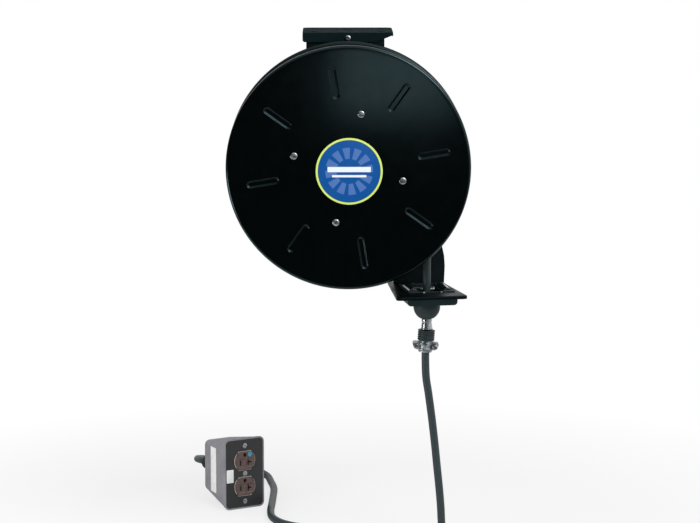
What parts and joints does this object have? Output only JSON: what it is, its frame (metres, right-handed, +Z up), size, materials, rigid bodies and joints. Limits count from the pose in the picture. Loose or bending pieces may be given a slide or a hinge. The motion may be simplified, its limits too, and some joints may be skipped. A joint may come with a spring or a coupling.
{
  "type": "extension cord reel",
  "caption": "Ceiling-mounted spring-return cord reel with pressed steel discs, a four-roller cord guide, a ball stop and a duplex outlet box on its cord.",
  "frame": {"origin": "centre of the top face of the ceiling plate, between its four mounting holes", "axes": "+Z up into the ceiling, -Y towards the reel's front disc, +X to the side the cord leaves on"},
  "size_m": [0.3965, 0.5072, 0.7102],
  "materials": {
    "black_paint": "satin",
    "zinc": "zinc plated",
    "steel": "machined",
    "dark_steel": "oiled",
    "bronze": "sintered",
    "brass": "turned",
    "blued_steel": "blued",
    "cast_zinc": "die cast, tumbled",
    "black_plastic": "moulded",
    "red_plastic": "moulded",
    "brown_plastic": "moulded",
    "carbon": "pressed",
    "label_blue": "printed film",
    "tag_pale": "blank sticker",
    "guide_casting": "satin",
    "cord_jacket": "matte extruded",
    "ball_rubber": "moulded",
    "black_rubber": "moulded",
    "box_rubber": "moulded"
  },
  "bodies": {
    "frame": {"ceiling_plate": "black_paint", "frame_channel": "black_paint", "frame_screw": "zinc", "main_shaft": "steel", "shaft_nut": "zinc", "thrust_washer": "bronze", "shaft_clip": "steel", "inlet_gland": "black_plastic", "spring_arbor": "steel", "brush_block": "red_plastic", "brushes": "carbon", "pawl_pin": "zinc", "lead_cord": "cord_jacket", "guide_arm": "black_paint", "arm_bolts": "dark_steel", "guide_shelf": "black_paint", "shelf_bolts": "zinc", "roller_box": "guide_casting", "roller_box_screws": "zinc", "roller_pins": "zinc", "ball_stop": "ball_rubber", "stop_ferrule": "zinc", "stop_sleeve": "black_rubber", "front_clamp": "cast_zinc", "rear_clamp": "cast_zinc", "clamp_screws": "zinc", "free_cord": "cord_jacket", "box_gland": "black_rubber", "box_body": "box_rubber", "box_cover": "black_plastic", "receptacle": "brown_plastic", "receptacle_strap": "zinc", "outlet_contacts": "brass", "box_screws": "zinc", "box_tags": "tag_pale"},
    "spool": {"front_disc": "black_paint", "rear_disc": "black_paint", "hub_drum": "black_paint", "front_hub_plate": "steel", "rear_hub_plate": "steel", "front_bearing": "bronze", "rear_bearing": "bronze", "spool_bolts": "zinc", "spool_nuts": "zinc", "hub_label": "label_blue", "spring_case": "steel", "spring_lid": "steel", "main_spring": "blued_steel", "slip_ring_core": "black_plastic", "slip_rings": "brass", "ratchet_wheel": "steel", "wound_cord_core": "cord_jacket", "wound_cord": "cord_jacket"},
    "pawl": {"pawl": "steel", "pawl_spring": "steel"},
    "left_roller": {"left_roller": "black_plastic"},
    "right_roller": {"right_roller": "black_plastic"},
    "front_roller": {"front_roller": "black_plastic"},
    "rear_roller": {"rear_roller": "black_plastic"}
  },
  "joints": [
    {"name": "spool_spin", "type": "hinge", "parent": "frame", "child": "spool", "pos_m": [0, -0.102, -0.176], "axis": [0, -1, 0], "continuous": true},
    {"name": "pawl_pivot", "type": "hinge", "parent": "frame", "child": "pawl", "pos_m": [-0.0433, -0.064, -0.151], "axis": [0, -1, 0], "range_deg": [0, 12], "stiffness_Nm_per_rad": 0.02, "springref_deg": -20.05},
    {"name": "left_roller_spin", "type": "hinge", "parent": "frame", "child": "left_roller", "pos_m": [0.08382, -0.10588, -0.348], "axis": [-0.1616, 0.9869, 0], "continuous": true},
    {"name": "right_roller_spin", "type": "hinge", "parent": "frame", "child": "right_roller", "pos_m": [0.13118, -0.09812, -0.348], "axis": [-0.1616, 0.9869, 0], "continuous": true},
    {"name": "front_roller_spin", "type": "hinge", "parent": "frame", "child": "front_roller", "pos_m": [0.11219, -0.13062, -0.353], "axis": [0.9869, 0.1616, 0], "continuous": true},
    {"name": "rear_roller_spin", "type": "hinge", "parent": "frame", "child": "rear_roller", "pos_m": [0.10281, -0.07338, -0.353], "axis": [0.9869, 0.1616, 0], "continuous": true}
  ]
}
